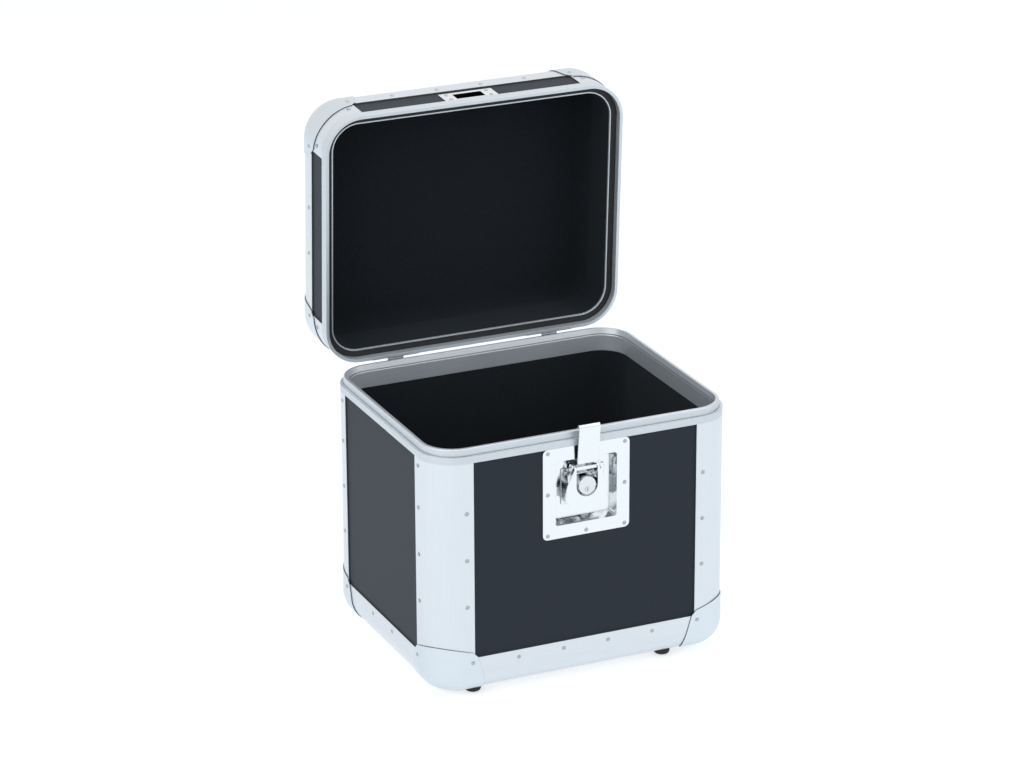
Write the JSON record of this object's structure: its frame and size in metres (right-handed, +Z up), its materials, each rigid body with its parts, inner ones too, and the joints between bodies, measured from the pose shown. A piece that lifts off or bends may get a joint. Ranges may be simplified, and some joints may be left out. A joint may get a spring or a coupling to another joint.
{
  "type": "record carrying case",
  "caption": "Box-shaped carrying case for records: laminated boards in aluminium extrusions, hinged framed lid, recessed drawbolt latch with key lock, drop handle and rubber feet.",
  "frame": {"origin": "on the floor under the feet, at the centre of the whole part's box with the lid open", "axes": "+Z up, +Y towards the hinges and the open lid, the latch faces -Y, +X to the right seen from the latch"},
  "size_m": [0.3828, 0.4192, 0.6177],
  "materials": {
    "anodised_aluminium": "satin anodised, fine lines along the extrusion",
    "laminated_board": "charcoal laminate, fine grain, low gloss",
    "felt": "black felt",
    "plated_steel": "plated, satin",
    "nickel": "polished nickel plate",
    "rivet_steel": "plated",
    "brass": "nickel plated brass",
    "rubber": "matt black",
    "grip_plastic": "matt black"
  },
  "bodies": {
    "base": {"base_ball_corners": "plated_steel", "base_corner_back_left": "anodised_aluminium", "base_corner_back_right": "anodised_aluminium", "base_corner_front_left": "anodised_aluminium", "base_corner_front_right": "anodised_aluminium", "base_edge_back": "anodised_aluminium", "base_edge_front": "anodised_aluminium", "base_edge_left": "anodised_aluminium", "base_edge_right": "anodised_aluminium", "base_lining": "felt", "base_panel_back": "laminated_board", "base_panel_bottom": "laminated_board", "base_panel_front": "laminated_board", "base_panel_left": "laminated_board", "base_panel_right": "laminated_board", "base_rim": "anodised_aluminium", "base_rivets": "rivet_steel", "dish_rivets": "rivet_steel", "feet": "rubber", "foot_screws": "rivet_steel", "hinge_base_leaves": "plated_steel", "hinge_base_rivets": "rivet_steel", "hinge_pins": "rivet_steel", "latch_base_plate": "nickel", "latch_dish": "nickel", "latch_plate_rivets": "rivet_steel", "lever_pin": "rivet_steel", "lock_cylinder": "nickel"},
    "lid": {"lid_ball_corners": "plated_steel", "lid_corner_back_left": "anodised_aluminium", "lid_corner_back_right": "anodised_aluminium", "lid_corner_front_left": "anodised_aluminium", "lid_corner_front_right": "anodised_aluminium", "lid_edge_back": "anodised_aluminium", "lid_edge_front": "anodised_aluminium", "lid_edge_left": "anodised_aluminium", "lid_edge_right": "anodised_aluminium", "lid_frame": "anodised_aluminium", "lid_lining": "felt", "lid_panel_top": "laminated_board", "lid_rivets": "rivet_steel", "lid_seal": "rubber", "lid_strip_back": "laminated_board", "lid_strip_front": "laminated_board", "lid_strip_left": "laminated_board", "lid_strip_right": "laminated_board", "keeper_plate": "nickel", "keeper_rivets": "rivet_steel", "hinge_lid_leaves": "plated_steel", "hinge_lid_rivets": "rivet_steel", "handle_brackets": "plated_steel", "handle_rivets": "rivet_steel"},
    "lever": {"latch_lever": "nickel"},
    "hook_pin_body": {"hook_pin": "rivet_steel"},
    "hook": {"hook_arm": "nickel"},
    "lock": {"lock_plug": "brass", "lock_cam": "brass"},
    "handle": {"handle_bail": "plated_steel", "handle_grip": "grip_plastic"}
  },
  "joints": [
    {"name": "lid_hinge", "type": "hinge", "parent": "base", "child": "lid", "pos_m": [0, 0.11262, 0.3], "axis": [1, 0, 0], "range_deg": [0, 87]},
    {"name": "lever_lift", "type": "hinge", "parent": "base", "child": "lever", "pos_m": [0, -0.19638, 0.265], "axis": [-1, 0, 0], "range_deg": [0, 90]},
    {"name": "hook_pin_turn", "type": "hinge", "parent": "lever", "child": "hook_pin_body", "pos_m": [0, -0.19388, 0.257], "axis": [-1, 0, 0], "range_deg": [-90, 0]},
    {"name": "hook_swing", "type": "hinge", "parent": "hook_pin_body", "child": "hook", "pos_m": [0, -0.19388, 0.257], "axis": [1, 0, 0], "range_deg": [-6, 15]},
    {"name": "lock_turn", "type": "hinge", "parent": "base", "child": "lock", "pos_m": [0, -0.20038, 0.2373], "axis": [0, -1, 0], "range_deg": [0, 90]},
    {"name": "handle_swing", "type": "hinge", "parent": "lid", "child": "handle", "pos_m": [0, 0.19962, 0.46478], "axis": [1, 0, 0], "range_deg": [0, 180]}
  ],
  "couplings": [
    {"joint": "hook_pin_turn", "follows": "lever_lift", "ratio": -1}
  ]
}
